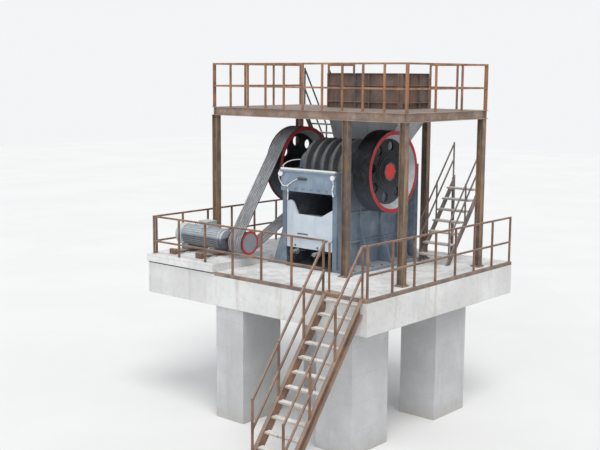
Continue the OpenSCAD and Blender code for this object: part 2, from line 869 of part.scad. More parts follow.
// The belt's outline in Y and Z, grown outwards from the pulleys' seats.
module belt_outline(grow) {
    big = belt_seat + 1 + grow;
    small = motor_seat + 1 + grow;
    span = [motor_y - shaft_y, motor_z - shaft_z];
    away = atan2(span[1], span[0]);
    lean = acos((big - small) / norm(span));
    translate([shaft_y, shaft_z]) rotate(away) {
        circle(r = big, $fn = 192);
        translate([norm(span), 0]) circle(r = small, $fn = 128);
        polygon([(big - bite) * [cos(lean), sin(lean)], (big - bite) * [cos(lean), -sin(lean)],
            [norm(span), 0] + (small - bite) * [cos(lean), -sin(lean)],
            [norm(span), 0] + (small - bite) * [cos(lean), sin(lean)]]);
    }
}

module belt_loop(grow_in, grow_out) {
    difference() {
        belt_outline(grow_out);
        belt_outline(grow_in);
    }
}

module drive_belt() {
    band_w = wheel_w - 2 * lip - 20;
    strand = band_w / strands;
    first = -wheel_in - wheel_w + lip + 10;
    color(BELT) at_crusher() {
        side_plate(first, first + band_w) belt_loop(0, 10);
        for (i = [0 : strands - 1]) {
            x = first + i * strand + 5;
            side_plate(x, x + strand - 10) belt_loop(9, 22);
        }
    }
}

module motor_pulley() {
    x0 = -wheel_in - wheel_w;
    color(DARK) at_crusher() {
        bar_x(x0, -wheel_in, motor_y, motor_z, motor_seat);
        for (x = [x0, -wheel_in - lip]) bar_x(x, x + lip, motor_y, motor_z, motor_pulley_r);
        bar_x(motor_end - 120, x0, motor_y, motor_z, motor_shaft_r);
    }
}

motor_base = curb_h + 60;

module motor() {
    color(PALE) at_crusher() difference() {
        union() {
            bar_x(motor_end - 1430, motor_end - 70, motor_y, motor_z, motor_r - 25);
            bar_x(motor_end - 70, motor_end, motor_y, motor_z, motor_r - 40);
            bar_x(motor_end - 100, motor_end - 70, motor_y, motor_z, motor_r);
            bar_x(motor_end - 1530, motor_end - 1330, motor_y, motor_z, motor_r);
            for (a = [0 : 12 : 348]) translate([motor_end - 1340, motor_y, motor_z])
                rotate([a, 0, 0]) translate([0, -6, 0]) cube([1250, 12, motor_r - 3]);
            for (x = [motor_end - 1250, motor_end - 350]) translate([x, motor_y - 250, motor_base])
                cube([150, 500, motor_z - motor_r + 60 - motor_base]);
            translate([motor_end - 800, motor_y - 150, motor_z + motor_r - 40])
                cube([300, 300, 170]);
        }
        bar_x(motor_end - 130, motor_end + 1, motor_y, motor_z, motor_shaft_r + running);
    }
}

module motor_rails() {
    color(RUST) at_crusher() for (x = [motor_end - 1250, motor_end - 350]) {
        translate([x + 15, motor_y - 600, curb_h]) cube([120, 1040, 60]);
        translate([x - 20, motor_y - 690, curb_h]) cube([190, 90, 130]);
    }
}

slab();
slab_edge_angle();
motor_curb();
pier_front_right();
pier_front_left();
pier_back_right();
pier_back_left();
main_stair_sides();
main_stair_treads();
front_guard_rail();
right_guard_rail();
left_guard_rail();
column_front_right();
column_front_mid();
column_front_left();
column_back_right();
column_back_mid();
column_back_left();
deck_frame();
deck_plate();
deck_rail_front();
deck_rail_right();
deck_rail_left();
deck_rail_back();
deck_stair_sides();
deck_stair_treads();
inner_stair_sides();
inner_stair_treads();
feed_guard_front();
feed_guard_right();
feed_guard_left();
feed_hopper();
frame_side_left();
frame_side_right();
frame_front_wall();
rear_beam();
rear_panel();
toggle_block();
fixed_jaw_plate();
bearing_housing_right();
bearing_housing_left();
swing_jaw();
swing_jaw_plate();
tension_rods();
toggle_plate();
eccentric_shaft();
flywheel();
belt_pulley();
hub_cap_right();
hub_cap_left();
drive_belt();
motor();
motor_rails();
motor_pulley();
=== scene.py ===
"""The looks of a jaw crusher station: weathered concrete, rusty steelwork, a dusty painted crusher."""
import json
import math

import bmesh
import bpy
from mathutils import Matrix, Vector


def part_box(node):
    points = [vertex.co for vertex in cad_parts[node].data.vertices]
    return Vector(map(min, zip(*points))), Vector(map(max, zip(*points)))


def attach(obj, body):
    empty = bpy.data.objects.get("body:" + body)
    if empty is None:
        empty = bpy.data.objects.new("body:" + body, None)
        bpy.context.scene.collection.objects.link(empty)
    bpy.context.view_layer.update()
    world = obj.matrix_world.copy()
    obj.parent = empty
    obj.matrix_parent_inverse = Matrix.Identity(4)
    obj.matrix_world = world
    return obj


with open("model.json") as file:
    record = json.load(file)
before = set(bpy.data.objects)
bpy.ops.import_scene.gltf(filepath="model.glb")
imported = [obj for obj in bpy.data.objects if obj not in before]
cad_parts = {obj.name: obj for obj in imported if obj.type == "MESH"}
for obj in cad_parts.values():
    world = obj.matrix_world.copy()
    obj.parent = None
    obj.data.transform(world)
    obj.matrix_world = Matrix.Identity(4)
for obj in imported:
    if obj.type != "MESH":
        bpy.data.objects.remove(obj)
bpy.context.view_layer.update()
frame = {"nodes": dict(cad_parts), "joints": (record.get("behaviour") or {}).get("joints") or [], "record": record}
NODES = frame["nodes"]
JOINTS = {joint["name"]: joint for joint in frame["joints"]}

# Places taken from the frame, in metres. CORNER is the platform's front right top corner.
SLAB_LOW, SLAB_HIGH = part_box("slab")
CORNER = Vector((SLAB_HIGH.x, SLAB_LOW.y, SLAB_HIGH.z))
SHAFT = Vector(JOINTS["rotor_spin"]["pos_m"])
MOTOR_SHAFT = Vector(JOINTS["motor_spin"]["pos_m"])
WHEEL_LOW, WHEEL_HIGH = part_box("flywheel")
WHEEL_R = (WHEEL_HIGH.z - WHEEL_LOW.z) / 2
PULLEY_LOW, PULLEY_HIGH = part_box("motor_pulley")
MOTOR_PULLEY_R = (PULLEY_HIGH.z - PULLEY_LOW.z) / 2
BEAM_LOW, BEAM_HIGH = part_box("rear_beam")
MOTOR_LOW, MOTOR_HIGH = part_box("motor")
BELT_LOW, BELT_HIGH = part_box("drive_belt")
STRANDS = 8
STRAND = (BELT_HIGH.x - BELT_LOW.x) / STRANDS

# The space between the crusher's side walls, painted near black as painted shade: half its width, how far
# behind the beam's front it starts and ends, and how high it reaches above the platform.
CHAMBER_HALF = 0.695
CHAMBER_START = 0.10
CHAMBER_END = 2.40
CHAMBER_RISE = 1.70
CHAMBER_LOW = (SHAFT.x - CHAMBER_HALF, BEAM_LOW.y + CHAMBER_START, None)
CHAMBER_HIGH = (SHAFT.x + CHAMBER_HALF, BEAM_LOW.y + CHAMBER_END, CORNER.z + CHAMBER_RISE)

# How softly the painted shade ends on the side walls, sharp enough to keep to their inner faces.
WALL_SOFT = 0.002

# The motor is painted near black as painted shade from its fan cover on, and up to a little above its shaft.
FAN_COVER = 0.21
MOTOR_SHADE_RISE = 0.04
MOTOR_SHADE_LOW = (MOTOR_LOW.x + FAN_COVER, None, None)
MOTOR_SHADE_HIGH = (None, None, MOTOR_SHAFT.z + MOTOR_SHADE_RISE)

# Widths of the wheels' red rims and of the flywheel's rim and pale cone together, and the radius of the
# red disc on the end caps.
RIM = 0.094
SMALL_RIM = 0.055
RIM_AND_CONE = 0.186
CAP_RED_R = 0.18

# The height of the boards that the concrete was cast against, and how far below the ground the lowest
# one starts.
BOARD = 0.61
BOARD_START = 0.11

# How far the rear beam's white paint reaches back from its front and down from its top.
WHITE_DEPTH = 0.045
WHITE_HEIGHT = 0.047

# How far small pieces stand clear of the face that they lie on.
CLEAR = 0.001

UP = (0, 0, 1)
FORWARD = (0, -1, 0)
RIGHT = (1, 0, 0)

# The finished materials, by name.
MATERIALS = {}


# Materials

class Paint:
    """A material and short calls for the nodes that build it. Colours are linear."""

    def __init__(self, name):
        self.name = name
        self.material = bpy.data.materials.new(name)
        self.material.use_nodes = True
        self.tree = self.material.node_tree
        self.shader = self.tree.nodes["Principled BSDF"]
        coordinates = self.tree.nodes.new("ShaderNodeTexCoord")
        self.place = coordinates.outputs["Object"]

    def node(self, kind, inputs=None, **settings):
        made = self.tree.nodes.new(kind)
        for key, value in settings.items():
            setattr(made, key, value)
        for key, value in (inputs or {}).items():
            self.put(made.inputs[key], value)
        return made

    def put(self, socket, value):
        if isinstance(value, bpy.types.NodeSocket):
            self.tree.links.new(value, socket)
        elif isinstance(value, (tuple, list)) and len(value) == 3 and socket.type == "RGBA":
            socket.default_value = (*value, 1.0)
        else:
            socket.default_value = value

    def moved(self, offset=(0, 0, 0), stretch=(1, 1, 1)):
        """The place, moved so that two patterns differ, or stretched so that they run one way."""
        return self.node("ShaderNodeMapping", {"Vector": self.place, "Location": offset,
                                               "Scale": stretch}).outputs[0]

    def noise(self, scale, detail=5.0, rough=0.6, place=None):
        return self.node("ShaderNodeTexNoise", {"Vector": place or self.place, "Scale": scale,
                                                "Detail": detail, "Roughness": rough}).outputs["Fac"]

    def patches(self, scale, low, high, detail=5.0, rough=0.6, place=None):
        """Cloudy patches: 0 where the noise is below low and 1 where it is above high."""
        return self.between(self.noise(scale, detail, rough, place), low, high)

    def dots(self, scale, size, core, place=None):
        """Scattered dots: 1 inside their core and 0 beyond their size, as shares of their spacing."""
        cells = self.node("ShaderNodeTexVoronoi", {"Vector": place or self.place, "Scale": scale})
        return self.between(cells.outputs["Distance"], size, core)

    def math(self, how, a, b=0.0, clamp=False):
        made = self.node("ShaderNodeMath", operation=how, use_clamp=clamp)
        self.put(made.inputs[0], a)
        self.put(made.inputs[1], b)
        return made.outputs[0]

    def plus(self, a, b):
        return self.math("ADD", a, b)

    def minus(self, a, b):
        return self.math("SUBTRACT", a, b)

    def times(self, a, b):
        return self.math("MULTIPLY", a, b)

    def between(self, value, low, high):
        """0 at low, 1 at high and smooth between them. Low may be the larger one."""
        return self.node("ShaderNodeMapRange", {"Value": value, "From Min": low, "From Max": high},
                         interpolation_type="SMOOTHSTEP").outputs[0]

    def mix(self, share, a, b):
        """Colour a where the share is 0 and colour b where it is 1."""
        made = self.node("ShaderNodeMix", data_type="RGBA", blend_type="MIX")
        self.put(made.inputs["Factor"], share)
        self.put(made.inputs[6], a)
        self.put(made.inputs[7], b)
        return made.outputs[2]

    def coat(self, color, layer, where, share):
        """A colour with another one over it, which covers no more than its share of it."""
        return self.mix(self.times(where, share), color, layer)

    def axis(self, name, place=None):
        made = self.node("ShaderNodeSeparateXYZ", {"Vector": place or self.place})
        return made.outputs[name]

    def facing(self, name):
        """How far the surface faces along an axis, from -1 to 1."""
        geometry = self.node("ShaderNodeNewGeometry")
        return self.axis(name, geometry.outputs["True Normal"])

    def upright(self):
        """1 on upright faces, 0 on level ones."""
        return self.math("SUBTRACT", 1.0, self.math("ABSOLUTE", self.facing("Z")), clamp=True)

    def edges(self, radius):
        """1 on sharp edges, 0 on flat faces."""
        bevel = self.node("ShaderNodeBevel", {"Radius": radius}, samples=4)
        geometry = self.node("ShaderNodeNewGeometry")
        dot = self.node("ShaderNodeVectorMath", {0: bevel.outputs[0], 1: geometry.outputs["Normal"]},
                        operation="DOT_PRODUCT").outputs["Value"]
        return self.between(dot, 0.985, 0.85)

    def inside(self, low, high, soft=0.02):
        """1 inside the box between two corners, 0 outside; a None leaves that side open."""
        share = 1.0
        for name, least, most in zip("XYZ", low, high):
            if least is not None:
                share = self.times(share, self.between(self.axis(name), least - soft, least + soft))
            if most is not None:
                share = self.times(share, self.between(self.axis(name), most + soft, most - soft))
        return share

    def radius_about_x(self, centre):
        away = self.node("ShaderNodeVectorMath", {0: self.place, 1: tuple(centre)},
                         operation="SUBTRACT").outputs[0]
        flat = self.node("ShaderNodeVectorMath", {0: away, 1: (0.0, 1.0, 1.0)},
                         operation="MULTIPLY").outputs[0]
        return self.node("ShaderNodeVectorMath", {0: flat}, operation="LENGTH").outputs["Value"]

    def bump(self, height, strength, distance, rounded):
        """Relief on the surface, with its edges rounded in the shading alone."""
        bevel = self.node("ShaderNodeBevel", {"Radius": rounded}, samples=4)
        made = self.node("ShaderNodeBump", {"Height": height, "Strength": strength,
                                            "Distance": distance, "Normal": bevel.outputs[0]})
        self.put(self.shader.inputs["Normal"], made.outputs[0])

    def finish(self, color, rough, metallic=0.0):
        self.put(self.shader.inputs["Base Color"], color)
        self.put(self.shader.inputs["Roughness"], rough)
        self.put(self.shader.inputs["Metallic"], metallic)
        MATERIALS[self.name] = self.material


def concrete(name, tint=(0.60, 0.60, 0.585), pale=(0.72, 0.72, 0.71), painted_shade_area=None, seamed=0.35):
    """Cast concrete with board seams, pits, streaks below its edges, and dust and crumbs on top.

    Inside the box given for painted shade, the concrete is painted black. seamed is how strongly the seams show."""
    speck = (0.42, 0.41, 0.38)
    streak = (0.36, 0.33, 0.29)
    stain = (0.46, 0.36, 0.26)
    mud = (0.38, 0.35, 0.31)
    seam = (0.40, 0.39, 0.37)
    dust = (0.86, 0.86, 0.85)
    crumb = (0.23, 0.19, 0.16)
    black = (0.055, 0.052, 0.050)
    p = Paint(name)
    upright = p.upright()
    level = p.between(p.facing("Z"), 0.5, 0.9)
    color = p.mix(p.patches(0.7, low=0.35, high=0.7, detail=4), tint, pale)
    fine = p.noise(9, detail=8, rough=0.7)
    color = p.coat(color, speck, p.between(fine, 0.45, 0.75), share=0.35)
    drips = p.moved(stretch=(3.2, 3.2, 0.25))
    streaks = p.patches(1.6, low=0.52, high=0.78, detail=6, rough=0.65, place=drips)
    color = p.coat(color, streak, p.times(streaks, upright), share=0.55)
    stains = p.patches(1.1, low=0.6, high=0.78, rough=0.7, place=p.moved((4.2, 1.3, 0.4)))
    color = p.coat(color, stain, stains, share=0.35)
    ragged = p.plus(p.axis("Z"), p.times(p.noise(2.5), 0.9))
    color = p.coat(color, mud, p.between(ragged, 0.9, 0.25), share=0.6)
    from_seam = p.math("PINGPONG", p.plus(p.axis("Z"), BOARD_START), BOARD / 2)
    seams = p.times(p.between(from_seam, 0.012, 0.0), upright)
    color = p.coat(color, seam, seams, share=seamed)
    dusty = p.times(level, p.patches(3.1, low=0.3, high=0.6, detail=6))
    color = p.coat(color, dust, dusty, share=0.9)
    crumbs = p.times(level, p.dots(7, size=0.16, core=0.08))
    crumbs = p.times(crumbs, p.patches(1.7, low=0.45, high=0.6, detail=3, rough=0.5))
    color = p.coat(color, crumb, crumbs, share=0.75)
    # Painted shade: black inside the given box.
    if painted_shade_area:
        color = p.coat(color, black, p.inside(*painted_shade_area), share=0.85)
    pits = p.dots(38, size=0.16, core=0.05)
    height = p.minus(p.times(fine, 0.5), p.times(pits, 0.7))
    height = p.minus(height, p.times(seams, 2 * seamed))
    p.bump(height, strength=0.6, distance=0.006, rounded=0.012)
    p.finish(color, rough=0.92)


def rusty(name, base=(0.135, 0.078, 0.058), light=(0.28, 0.165, 0.105), streaked=0.4,
          streak=(0.33, 0.150, 0.070), dusty=0.75):
    """Red-brown primer, rusted through in patches, with streaks of rust and dust on top."""
    flake = (0.085, 0.052, 0.042)
    bare = (0.36, 0.30, 0.25)
    dust = (0.42, 0.37, 0.32)
    rubbed = (0.42, 0.28, 0.19)
    p = Paint(name)
    rusted = p.patches(2.3, low=0.42, high=0.68, detail=7, rough=0.7)
    color = p.mix(rusted, base, light)
    if streaked:
        runs = p.moved(stretch=(4.5, 4.5, 0.5))
        streaks = p.patches(1.5, low=0.48, high=0.62, detail=6, rough=0.65, place=runs)
        color = p.coat(color, streak, streaks, share=streaked)
    flakes = p.patches(14, low=0.55, high=0.72, detail=6, rough=0.75, place=p.moved((1.2, 0.3, 2.0)))
    color = p.coat(color, flake, flakes, share=0.7)
    spots = p.patches(5.5, low=0.6, high=0.75, detail=6, rough=0.7, place=p.moved((3.1, 2.2, 0.7)))
    color = p.coat(color, bare, spots, share=0.5)
    color = p.coat(color, dust, p.between(p.facing("Z"), 0.3, 0.95), share=dusty)
    worn = p.times(p.edges(radius=0.008), p.patches(6, low=0.35, high=0.6, detail=4))
    color = p.coat(color, rubbed, worn, share=0.6)
    p.bump(p.noise(45, rough=0.7), strength=0.35, distance=0.003, rounded=0.004)
    p.finish(color, rough=p.plus(0.72, p.times(rusted, 0.2)))


def painted(name, base, shade, dirt=(0.20, 0.19, 0.17), dust=(0.52, 0.52, 0.50), gloss=0.5,
            dustiness=0.75, chips=(0.10, 0.07, 0.06), grime=0.55, white_from=None, painted_shade_box=None):
    """Machine paint: uneven colour, dust on top, chips on its edges, streaks and splashes.

    With white_from, what lies above that height or in front of that depth is painted white.
    What lies inside the last box given is painted near black: painted shade."""
    painted_shade_black = (0.050, 0.056, 0.080)
    white = (0.80, 0.80, 0.78)
    splash = (0.68, 0.68, 0.66)
    p = Paint(name)
    color = p.mix(p.patches(1.8, low=0.35, high=0.7), base, shade)
    # Painted shade: near black inside the given box.
    if painted_shade_box:
        color = p.coat(color, painted_shade_black, p.inside(*painted_shade_box), share=0.85)
    if white_from:
        front, high = white_from
        soft = 0.001
        whitened = p.math("MAXIMUM", p.between(p.axis("Z"), high - soft, high + soft),
                          p.between(p.axis("Y"), front + soft, front - soft))
        color = p.mix(whitened, color, white)
    runs = p.moved(stretch=(5.0, 5.0, 0.45))
    streaks = p.patches(1.7, low=0.54, high=0.76, detail=7, rough=0.7, place=runs)
    color = p.coat(color, dirt, p.times(streaks, p.upright()), share=grime)
    film = p.patches(3.4, low=0.45, high=0.8, detail=8, rough=0.75, place=p.moved((2.0, 5.0, 1.0)))
    color = p.coat(color, dust, film, share=0.45)
    color = p.coat(color, dust, p.between(p.facing("Z"), 0.25, 0.9), share=dustiness)
    splashes = p.dots(24, size=0.10, core=0.05, place=p.moved(stretch=(1, 1, 0.8)))
    splashes = p.times(splashes, p.patches(1.3, low=0.52, high=0.6, detail=3))
    color = p.coat(color, splash, splashes, share=0.6)
    worn = p.times(p.edges(radius=0.010), p.patches(7, low=0.48, high=0.60, rough=0.7))
    color = p.coat(color, chips, worn, share=0.8)
    p.bump(p.noise(60, detail=4), strength=0.15, distance=0.002, rounded=0.006)
    p.finish(color, rough=p.plus(p.times(film, 0.35), gloss))


def tread_finish(name):
    """Pale dusty treads with brown stains, darker on their edges."""
    pale = (0.78, 0.77, 0.75)
    drab = (0.60, 0.57, 0.53)
    stain = (0.20, 0.14, 0.10)
    edge = (0.22, 0.15, 0.11)
    p = Paint(name)
    color = p.mix(p.patches(3, low=0.4, high=0.65, detail=7, rough=0.7), pale, drab)
    stains = p.patches(7, low=0.55, high=0.68, detail=7, rough=0.75, place=p.moved((0.3, 2, 1)))
    color = p.coat(color, stain, stains, share=0.7)
    sides = p.between(p.math("ABSOLUTE", p.facing("Z")), 0.6, 0.4)
    color = p.coat(color, edge, sides, share=0.55)
    p.bump(p.noise(30, detail=6, rough=0.7), strength=0.4, distance=0.004, rounded=0.004)
    p.finish(color, rough=0.85)


def wheel_finish(name, centre, outer, rim, rim_and_cone=0.0, web=(0.014, 0.014, 0.016)):
    """Near-black wheel with red rim faces and, inside them, a pale dusty cone down to the web."""
    black = (0.008, 0.009, 0.011)
    grey = (0.022, 0.025, 0.030)
    dust = (0.13, 0.14, 0.15)
    painted_sky_light = (0.15, 0.17, 0.20)
    red = (0.46, 0.040, 0.045)
    deep_red = (0.33, 0.030, 0.035)
    faded_red = (0.52, 0.25, 0.23)
    cone_pale = (0.86, 0.87, 0.88)
    cone_drab = (0.66, 0.67, 0.69)
    cone_shade = (0.42, 0.43, 0.45)
    rubbed = (0.25, 0.24, 0.23)
    p = Paint(name)
    radius = p.radius_about_x(centre)
    face = p.between(p.math("ABSOLUTE", p.facing("X")), 0.8, 0.9)
    color = p.mix(p.patches(2.2, low=0.4, high=0.7, detail=6, rough=0.7), black, grey)
    color = p.coat(color, web, face, share=0.8)
    color = p.coat(color, dust, p.patches(5, low=0.45, high=0.72, detail=8, rough=0.75), share=0.25)
    # Painted sky light: the wheel's lower half is lightened bluish.
    below = p.between(p.minus(p.axis("Z"), centre[2]), 0.0, -0.8)
    color = p.coat(color, painted_sky_light, below, share=0.35)
    rim_foot = outer - rim
    if rim_and_cone:
        cone_foot = outer - rim_and_cone
        cone = p.times(p.minus(1.0, face), p.between(radius, cone_foot - 0.003, cone_foot + 0.003))
        cone = p.times(cone, p.between(radius, rim_foot + 0.012, rim_foot + 0.004))
        pale = p.mix(p.patches(6, low=0.4, high=0.65, detail=7, rough=0.7), cone_pale, cone_drab)
        # Painted shade on the cone's faces that face down.
        pale = p.mix(p.between(p.facing("Z"), 0.2, -0.3), pale, cone_shade)
        color = p.coat(color, pale, cone, share=0.9)
    paint = p.mix(p.patches(4, low=0.4, high=0.7, detail=6, rough=0.7), red, deep_red)
    faded = p.patches(9, low=0.55, high=0.7, detail=6, rough=0.75)
    paint = p.coat(paint, faded_red, faded, share=0.5)
    on_rim = p.times(face, p.between(radius, rim_foot - 0.004, rim_foot + 0.002))
    color = p.mix(on_rim, color, paint)
    worn = p.times(p.edges(radius=0.006), p.patches(8, low=0.4, high=0.6))
    color = p.coat(color, rubbed, worn, share=0.5)
    p.bump(p.noise(40, detail=4), strength=0.15, distance=0.002, rounded=0.006)
    p.put(p.shader.inputs["Specular IOR Level"], 0.22)
    p.finish(color, rough=0.5)


def cap_finish(name, centre, red_radius):
    """A bright red disc inside a dark dusty flange."""
    red = (0.70, 0.022, 0.016)
    deep_red = (0.54, 0.018, 0.016)
    faded_red = (0.45, 0.16, 0.13)
    flange = (0.045, 0.048, 0.052)
    p = Paint(name)
    disc = p.mix(p.patches(7, low=0.4, high=0.7, detail=6, rough=0.7), red, deep_red)
    faded = p.patches(16, low=0.56, high=0.72, detail=6, rough=0.75)
    disc = p.coat(disc, faded_red, faded, share=0.4)
    outside = p.between(p.radius_about_x(centre), red_radius - 0.002, red_radius + 0.002)
    color = p.mix(outside, disc, flange)
    p.bump(p.noise(60, detail=4), strength=0.15, distance=0.002, rounded=0.006)
    p.finish(color, rough=0.4)


def belt_finish(name):
    """Grey rubber, dusty on its strands, with painted shade between them."""
    grey = (0.185, 0.19, 0.20)
    dust = (0.40, 0.41, 0.425)
    rubbed = (0.07, 0.07, 0.072)
    painted_groove_shade = (0.05, 0.052, 0.056)
    p = Paint(name)
    lengthways = p.moved(stretch=(6, 1, 1))
    dusty = p.patches(4, low=0.35, high=0.7, detail=7, rough=0.7, place=lengthways)
    color = p.mix(dusty, grey, dust)
    color = p.coat(color, rubbed, p.patches(18, low=0.55, high=0.75, rough=0.7), share=0.4)
    half = STRAND / 2
    from_groove = p.math("PINGPONG", p.minus(p.axis("X"), BELT_LOW.x), half)
    # Painted shade in the gaps between the strands.
    color = p.coat(color, painted_groove_shade, p.between(from_groove, 0.34 * half, 0.20 * half), share=0.8)
    p.bump(p.noise(80, detail=3), strength=0.2, distance=0.001, rounded=0.003)
    p.finish(color, rough=0.8)


def worn_steel(name, base=(0.32, 0.32, 0.32), rough=0.45):
    """Bare steel ground bright by stone, with brown stains."""
    bright = (0.50, 0.50, 0.49)
    stain = (0.14, 0.11, 0.09)
    p = Paint(name)
    scratches = p.noise(22, detail=6, rough=0.7, place=p.moved(stretch=(1, 1, 0.12)))
    color = p.mix(p.between(scratches, 0.4, 0.65), base, bright)
    color = p.coat(color, stain, p.patches(4, low=0.5, high=0.7, detail=7, rough=0.7), share=0.8)
    p.bump(scratches, strength=0.3, distance=0.002, rounded=0.005)
    p.finish(color, rough, metallic=0.6)


# The looks of the slots
BLUE_GREY = ((0.135, 0.185, 0.245), (0.20, 0.25, 0.31))
MOTOR_GREY = ((0.34, 0.40, 0.45), (0.46, 0.52, 0.56))
MOTOR_DIRT = {"grime": 0.4, "dust": (0.58, 0.58, 0.56)}
concrete("concrete")
rusty("rusty_steel")
painted("dark_steel", (0.030, 0.030, 0.032), (0.055, 0.052, 0.050), gloss=0.6, dustiness=0.5,
        dust=(0.30, 0.29, 0.27), grime=0.3)
tread_finish("tread_steel")
painted("blue_grey_paint", *BLUE_GREY)
painted("pale_paint", (0.50, 0.58, 0.66), (0.62, 0.67, 0.72), grime=0.35, dust=(0.66, 0.67, 0.67))
painted("jaw_casting", (0.130, 0.140, 0.148), (0.205, 0.215, 0.225), dustiness=0.7, grime=0.35,
        dust=(0.36, 0.36, 0.36), dirt=(0.05, 0.05, 0.05), chips=(0.40, 0.40, 0.40))
worn_steel("jaw_steel")
worn_steel("machined_steel", (0.22, 0.22, 0.22), rough=0.35)
wheel_finish("wheel_paint", SHAFT, WHEEL_R, RIM, RIM_AND_CONE)
painted("red_paint", (0.66, 0.022, 0.018), (0.52, 0.018, 0.018), gloss=0.3, dustiness=0.3,
        dust=(0.45, 0.20, 0.18), grime=0.2)
belt_finish("belt_rubber")
painted("motor_paint", *MOTOR_GREY, **MOTOR_DIRT)

# The looks of parts and pieces that differ from the rest of their slot
# The motor's lower half is painted near black: painted shade.
painted("motor", *MOTOR_GREY, **MOTOR_DIRT, painted_shade_box=(MOTOR_SHADE_LOW, MOTOR_SHADE_HIGH))
# The side walls' inner faces are painted near black: painted shade.
painted("frame_wall", *BLUE_GREY, painted_shade_box=(CHAMBER_LOW, CHAMBER_HIGH, WALL_SOFT))
painted("hopper", (0.34, 0.37, 0.40), (0.46, 0.48, 0.50), grime=0.7, dirt=(0.16, 0.11, 0.08))
painted("rear_beam", (0.18, 0.245, 0.325), (0.26, 0.33, 0.41),
        white_from=(BEAM_LOW.y + WHITE_DEPTH, BEAM_HIGH.z - WHITE_HEIGHT))
painted("white_pipe", (0.80, 0.80, 0.78), (0.70, 0.70, 0.68), grime=0.3)
wheel_finish("small_wheel", MOTOR_SHAFT, MOTOR_PULLEY_R, SMALL_RIM, web=(0.30, 0.33, 0.35))
cap_finish("hub_cap", SHAFT, CAP_RED_R)
# The floor between the crusher's side walls is painted black: painted shade.
concrete("slab_concrete", painted_shade_area=(CHAMBER_LOW, CHAMBER_HIGH), seamed=0.08)
# The piers are painted darker than the slab: painted shade from the slab above them.
concrete("pier_concrete_painted_shade", (0.45, 0.455, 0.46), (0.55, 0.56, 0.57))
rusty("guard_panel", (0.110, 0.084, 0.078), (0.19, 0.145, 0.125), 0.8, (0.21, 0.105, 0.062))
rusty("deck_steel", (0.245, 0.175, 0.142), (0.43, 0.33, 0.275), 0.45, (0.30, 0.165, 0.085))
rusty("deck_top", (0.150, 0.115, 0.098), (0.30, 0.235, 0.195), dusty=0.3)
rusty("rail_steel", (0.190, 0.095, 0.060), (0.36, 0.20, 0.115), 0.75, (0.40, 0.165, 0.065))
rusty("stair_steel", (0.135, 0.110, 0.098), (0.26, 0.215, 0.185), streaked=0.0)
rusty("column_steel", (0.135, 0.100, 0.080), (0.26, 0.195, 0.150), 0.75, (0.34, 0.20, 0.095))

OWN_LOOK = {"slab": "slab_concrete", "slab_edge_angle": "deck_top", "deck_plate": "deck_top",
            "deck_frame": "deck_steel", "inner_stair_sides": "stair_steel", "feed_hopper": "hopper",
            "feed_guard_front": "guard_panel", "feed_guard_left": "guard_panel",
            "feed_guard_right": "guard_panel", "frame_side_left": "frame_wall",
            "frame_side_right": "frame_wall", "rear_beam": "rear_beam", "hub_cap_left": "hub_cap",
            "hub_cap_right": "hub_cap", "motor": "motor", "motor_pulley": "small_wheel"}
GROUP_LOOK = {"pier_": "pier_concrete_painted_shade", "column_": "column_steel", "deck_rail_": "rail_steel"}
for start, look in GROUP_LOOK.items():
    OWN_LOOK.update((name, look) for name in NODES if name.startswith(start))
SLOTS = {entry["node"]: entry["material_slot"] for entry in frame["record"]["subparts"]}
for node_name, part in NODES.items():
    material = MATERIALS[OWN_LOOK.get(node_name, SLOTS[node_name])]
    if not part.material_slots:
        part.data.materials.append(material)
    for material_slot in part.material_slots:
        material_slot.material = material


# Ways to make small pieces

def add_piece(name, mesh_builder, slot, body="station", look=None):
    """Makes an object from a bmesh, finishes it and lets it ride on a body.

    look names its material, where that differs from the slot's."""
    mesh = bpy.data.meshes.new(name)
    mesh_builder.to_mesh(mesh)
    mesh_builder.free()
    piece = bpy.data.objects.new(name, mesh)
    bpy.context.scene.collection.objects.link(piece)
    mesh.materials.append(MATERIALS[look or slot])
    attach(piece, body)


def turn_to(direction):
    """The turn that brings Z to a direction."""
    return Vector(direction).to_track_quat("Z", "Y").to_matrix().to_4x4()


def add_bolt(builder, place, direction, size):
    """A washer and a hexagon head standing on a face. The size is the washer's radius."""
    stand = Matrix.Translation(place) @ turn_to(direction)
    head_foot = 0.15 * size
    washer = (16, size, 0.0, head_foot)
    head = (6, 0.85 * size, head_foot, 0.75 * size)
    for sides, radius, low, high in (washer, head):
        middle = Matrix.Translation((0, 0, (low + high) / 2))
        bmesh.ops.create_cone(builder, cap_ends=True, segments=sides, radius1=radius, radius2=radius,
                              depth=high - low, matrix=stand @ middle)


def add_bolts(name, places, direction, size, slot, body="station"):
    builder = bmesh.new()
    for place in places:
        add_bolt(builder, place, direction, size)
    add_piece(name, builder, slot, body)


def add_blocks(name, blocks, slot, bevel=0.0, segments=1):
    """A piece of boxes, each between two corners, with their edges rounded."""
    builder = bmesh.new()
    for low, high in blocks:
        size = Matrix.Diagonal((*(high - low), 1.0))
        bmesh.ops.create_cube(builder, size=1.0, matrix=Matrix.Translation((low + high) / 2) @ size)
    if bevel:
        bmesh.ops.bevel(builder, geom=builder.edges[:], offset=bevel, segments=segments,
                        affect="EDGES")
    add_piece(name, builder, slot)


